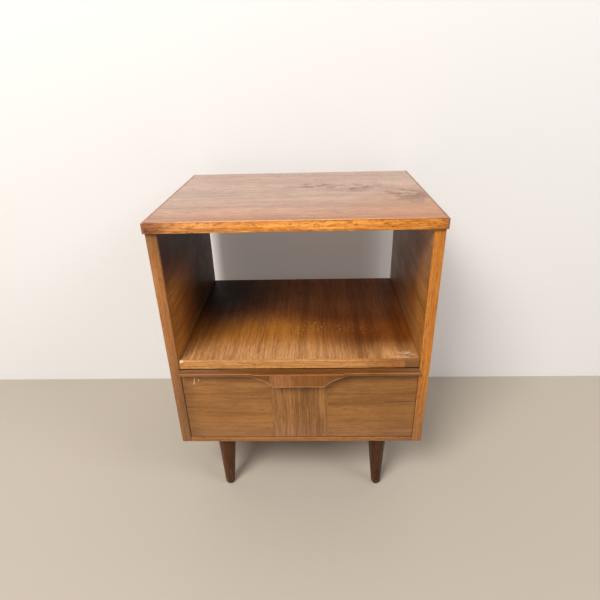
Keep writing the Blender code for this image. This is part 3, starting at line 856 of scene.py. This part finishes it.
# ---------------------------------------------------------------- legs
def build_leg(corner, material):
    """A tapered, splayed leg with level ends, bored for its bolt above and its glide's stem below."""
    low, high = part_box(f"leg_{corner}")
    glide_low, glide_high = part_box(f"leg_glide_{corner}")
    bolt_low, bolt_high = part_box(f"leg_bolt_{corner}")
    foot = (glide_low + glide_high) / 2
    bolt = (bolt_low + bolt_high) / 2
    lean = (bolt - foot) / (bolt.z - foot.z)
    top_radius = (high.x - low.x) / 2 - abs(lean.x) * leg_top_round
    length = high.z - low.z

    def radius(z):
        return leg_foot_radius + (top_radius - leg_foot_radius) * (z - low.z) / length

    profile = [(bolt_bore, high.z - bolt_bore_depth), (bolt_bore, high.z)]
    profile.append((radius(high.z) - leg_top_round, high.z))
    for i in range(leg_rings):
        z = high.z - leg_top_round - (length - leg_top_round - leg_foot_round) * i / leg_rings
        profile.append((radius(z), z))
    for i in range(leg_foot_steps + 1):
        angle = math.pi / 2 * i / leg_foot_steps
        inset = leg_foot_round * (1 - math.cos(angle))
        profile.append((leg_foot_radius - inset, low.z + leg_foot_round * (1 - math.sin(angle))))
    profile += [(stem_bore, low.z), (stem_bore, low.z + stem_bore_depth)]

    turns = [2 * math.pi * i / leg_steps for i in range(leg_steps)]
    outward = [(math.cos(a), math.sin(a)) for a in turns]
    rings = []
    for distance, z in profile:
        centre = foot + lean * (z - foot.z)
        rings.append([(centre.x + distance * x, centre.y + distance * y, z) for x, y in outward])
    shape = bmesh.new()
    bridge(shape, rings)
    add_piece(f"leg_{corner}_turned", shape, material, "case", "leg_wood", f"leg_{corner}")


def build_legs():
    material = leg_wood()
    for corner in ("front_left", "front_right", "back_left", "back_right"):
        build_leg(corner, material)


# ---------------------------------------------------------------- drawer
def ease_curve(share):
    share = min(1.0, max(0.0, share))
    return share * share * (3 - 2 * share)


def pull_underside(x, end):
    """How far the pull hangs below its top at x: thin at the ends, a hollow curve, then the tab."""
    away = abs(x)
    curve_end = pull_tab_half + pull_curve_run
    if away <= pull_tab_half:
        return pull_drop
    if away >= curve_end:
        return pull_shoulder + (pull_end - pull_shoulder) * (away - curve_end) / (end - curve_end)
    fall = pull_drop - pull_shoulder
    radius = (pull_curve_run**2 + fall**2) / (2 * fall)
    return pull_shoulder + radius - math.sqrt(radius**2 - (curve_end - away) ** 2)


def arc(y, z, radius, start):
    """A quarter turn of (y, z) points about a centre."""
    angles = [math.radians(start + 90 * i / arris_steps) for i in range(arris_steps + 1)]
    return [(y + radius * math.cos(a), z + radius * math.sin(a)) for a in angles]


def pull_section(x, low, high):
    """The pull's outline across the grain at x, as (y, z) points from its top back round to its back.

    Points close beside the two front arcs let the wear on them fade. A finger hollow rises from below.
    """
    front = low.y + pull_relief * ease_curve((abs(x) - pull_relief_start) / pull_relief_run)
    back, top = high.y, high.z
    bottom = top - pull_underside(x, high.x)
    inside = min(1.0, max(0.0, (cove_half - abs(x)) / cove_round))
    hollow = cove_height * math.sqrt(1 - (1 - inside) ** 2)
    points = arc(back - pull_back_arris, top - pull_back_arris, pull_back_arris, 0)
    points.append((front + 2 * pull_arris, top))
    points += arc(front + pull_arris, top - pull_arris, pull_arris, 90)
    points.append((front, top - 1.9 * pull_arris))
    points.append((front, bottom + 1.9 * pull_arris))
    points += arc(front + pull_arris, bottom + pull_arris, pull_arris, 180)
    for i in range(cove_steps + 1):
        turn = math.pi / 2 * i / cove_steps
        inset = cove_wall + cove_round * (1 - math.cos(turn))
        points.append((low.y + inset, bottom + hollow * math.sin(turn)))
    points.append((back - pull_back_arris, bottom + hollow))
    points.append((back, bottom + hollow + pull_back_arris))
    return points


def pull_stations(end):
    """Where the pull's sections are taken: closer together where its shape changes."""
    shaped = pull_relief_start + pull_relief_run + pull_arris
    half = [i * pull_fine_step for i in range(math.floor(shaped / pull_fine_step) + 1)]
    plain = math.ceil((end - half[-1]) / pull_plain_step)
    half += [half[-1] + (end - half[-1]) * i / plain for i in range(1, plain + 1)]
    half += [cove_half - cove_round * share for share in (0.02, 0.1, 0.3)]
    half = sorted(set(half))
    return [-x for x in reversed(half[1:])] + half


def build_pull(material):
    low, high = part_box("drawer_pull")
    rings = [[(x, y, z) for y, z in pull_section(x, low, high)] for x in pull_stations(high.x)]
    shape = bmesh.new()
    layer = shape.verts.layers.float.new("arris")
    loops = bridge(shape, rings)
    # Where the two front arcs lie in a section
    upper_arc = range(arris_steps + 2, 2 * arris_steps + 3)
    lower_arc = range(2 * arris_steps + 5, 3 * arris_steps + 6)
    for loop in loops:
        for i in (*upper_arc, *lower_arc):
            loop[i][layer] = 1.0
    add_piece("drawer_pull_shaped", shape, material, "drawer", "pull_wood", "drawer_pull")


def build_drawer():
    scratched = [((-0.206, 0.163), (-0.209, 0.148), 0.0010), ((-0.199, 0.159), (-0.198, 0.156), 0.0012)]
    crossed = [((-0.139, 0.108), (-0.124, 0.092), 0.0010), ((-0.124, 0.107), (-0.137, 0.093), 0.0010)]
    left_marks = [(scratched, (236, 214, 186), 0.9), (crossed, (112, 70, 34), 0.6)]
    right_marks = [
        ([((0.171, 0.102), (0.231, 0.103), 0.0011)], (60, 34, 18), 0.8),
        ([((0.057, 0.068), (0.088, 0.068), 0.0010)], (110, 70, 38), 0.6),
    ]
    left = drawer_veneer("drawer_veneer_left", X, 81.0, tones(158, 107, 55, 0.25), left_marks)
    right = drawer_veneer("drawer_veneer_right", X, 85.0, tones(147, 98, 49, 0.25), right_marks)
    upright = tones(154, 104, 57, 0.35)
    figure = {"band": 0.014, "streak": 0.0022, "cloud": 0.2, "pore": 0.0013}
    centre = drawer_veneer("drawer_veneer_centre", Z, 89.0, upright, **figure)
    rubbed_board("front_veneer_left", left, "drawer", "front_veneer", ("+x", "+y"), thin_ease)
    rubbed_board("front_veneer_right", right, "drawer", "front_veneer", ("-x", "+y"), thin_ease)
    finish_node("front_veneer_centre", centre)
    build_pull(pull_wood())


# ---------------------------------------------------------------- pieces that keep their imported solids
def finish_node(name, material):
    """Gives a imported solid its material; its shape is left as it is."""
    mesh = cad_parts[name].data
    mesh.materials.clear()
    mesh.materials.append(material)


def finish_packed_pieces():
    pale = tones(204, 170, 122, 0.2)
    honey = tones(184, 140, 88, 0.2)
    lengthwise = raw_wood("drawer_sides_wood", Y, 101.0, pale)
    crosswise = raw_wood("drawer_ends_wood", X, 103.0, pale)
    runner = raw_wood("runner_wood_pale", Y, 105.0, honey)
    steel = plated_steel()
    pale_nylon = nylon("aged_nylon", rgb(214, 204, 182), rgb(120, 106, 86))
    dark_nylon = nylon("brown_nylon", rgb(46, 34, 26), rgb(96, 82, 70))
    by_name = {
        "drawer_side_": lengthwise,
        "drawer_front": drawer_core(),
        "drawer_back": crosswise,
        "drawer_bottom": lengthwise,
        "drawer_runner_": runner,
        "drawer_kicker_": runner,
        "drawer_stop_": runner,
        "centre_guide_rail": runner,
        # Through side_veneer the bottom is also paler at its front and darker towards its back: painted light
        # and shade.
        "bottom_panel": side_veneer("bottom_veneer", 17.0, (112, 70, 36), (184, 122, 54), 0.4),
        "leg_bolt_": steel,
        "leg_plate_": steel,
        "plate_screw_": steel,
        "pull_screw_": steel,
        "leg_glide_": dark_nylon,
        "drawer_guide": pale_nylon,
    }
    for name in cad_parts:
        for start, material in by_name.items():
            if name.startswith(start):
                finish_node(name, material)


# ---------------------------------------------------------------- stage, light and camera
def one_sided(name, color, glow=0.0):
    """A matt studio surface, clear from behind so that it never hides the table. It may glow a little."""
    material = bpy.data.materials.new(name)
    material.use_nodes = True
    tree = material.node_tree
    shader = tree.nodes["Principled BSDF"]
    shader.inputs["Base Color"].default_value = color
    shader.inputs["Roughness"].default_value = 0.9
    shader.inputs["Specular IOR Level"].default_value = 0.1
    shader.inputs["Emission Color"].default_value = (1.0, 0.92, 0.84, 1.0)
    shader.inputs["Emission Strength"].default_value = glow
    clear = tree.nodes.new("ShaderNodeBsdfTransparent")
    behind = tree.nodes.new("ShaderNodeNewGeometry")
    choose = tree.nodes.new("ShaderNodeMixShader")
    tree.links.new(behind.outputs["Backfacing"], choose.inputs[0])
    tree.links.new(shader.outputs[0], choose.inputs[1])
    tree.links.new(clear.outputs[0], choose.inputs[2])
    tree.links.new(choose.outputs[0], tree.nodes["Material Output"].inputs[0])
    return material


def stage_sheet(name, profile, material):
    """A wide sheet swept along X from a line of (y, z) points."""
    shape = bmesh.new()
    rows = [[shape.verts.new((x, y, z)) for y, z in profile] for x in (-stage_half, stage_half)]
    for i in range(len(profile) - 1):
        shape.faces.new((rows[0][i], rows[1][i], rows[1][i + 1], rows[0][i + 1]))
    mesh = bpy.data.meshes.new(name)
    shape.to_mesh(mesh)
    shape.free()
    mesh.materials.append(material)
    obj = bpy.data.objects.new(name, mesh)
    bpy.context.scene.collection.objects.link(obj)
    return obj


def build_stage():
    wall_y = cad_box[1].y + wall_gap
    floor = one_sided("pale_floor", rgb(184, 174, 160))
    stage_sheet("floor", [(-stage_half, 0.0), (stage_half, 0.0)], floor)
    white = one_sided("white_backdrop", rgb(222, 221, 220), glow=0.13)
    wall = stage_sheet("backdrop", [(wall_y, 0.0), (wall_y, wall_height)], white)
    wall.visible_shadow = False


def add_light(name, azimuth, elevation, distance, size, power, color=(1, 1, 1)):
    """A square soft light aimed at the table. Azimuth 0 is in front, and goes round to the right."""
    centre = (cad_box[0] + cad_box[1]) / 2
    a, e = math.radians(azimuth), math.radians(elevation)
    away = Vector((math.sin(a) * math.cos(e), -math.cos(a) * math.cos(e), math.sin(e)))
    data = bpy.data.lights.new(name, "AREA")
    data.size = size
    data.energy = power
    data.color = color
    light = bpy.data.objects.new(name, data)
    light.location = centre + away * distance
    light.rotation_mode = "QUATERNION"
    light.rotation_quaternion = (-away).to_track_quat("-Z", "Y")
    bpy.context.scene.collection.objects.link(light)


def build_lights():
    warm = (1.0, 0.98, 0.95)
    add_light("key", azimuth=-30, elevation=45, distance=4.0, size=1.5, power=142, color=warm)
    add_light("side_fill", azimuth=58, elevation=38, distance=3.4, size=1.2, power=25)
    add_light("upper_fill", azimuth=0, elevation=62, distance=3.5, size=1.6, power=12)
    add_light("back_fill", azimuth=180, elevation=-8, distance=2.4, size=1.2, power=12)
    world = bpy.data.worlds.new("studio")
    world.use_nodes = True
    background = world.node_tree.nodes["Background"]
    background.inputs["Color"].default_value = (0.95, 0.97, 1.0, 1.0)
    background.inputs["Strength"].default_value = 0.24
    bpy.context.scene.world = world
    bpy.context.scene.view_settings.view_transform = "Standard"


def build_camera():
    """Stands a little right of the middle, above the top, and looks down at the table's front."""
    data = bpy.data.cameras.new("camera")
    data.lens = 27.5
    data.sensor_width = 36.0
    camera = bpy.data.objects.new("camera", data)
    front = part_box("side_front_band_left")[0].y
    camera.location = (camera_right, front - camera_away, case_low + camera_up)
    turn = Matrix.Rotation(math.radians(camera_turn), 4, "Z")
    tip = Matrix.Rotation(math.radians(90 - camera_down), 4, "X")
    roll = Matrix.Rotation(math.radians(camera_roll), 4, "Z")
    camera.rotation_euler = (turn @ tip @ roll).to_euler()
    bpy.context.scene.collection.objects.link(camera)
    bpy.context.scene.camera = camera


build_case()
build_legs()
build_drawer()
finish_packed_pieces()
build_stage()
build_lights()
build_camera()
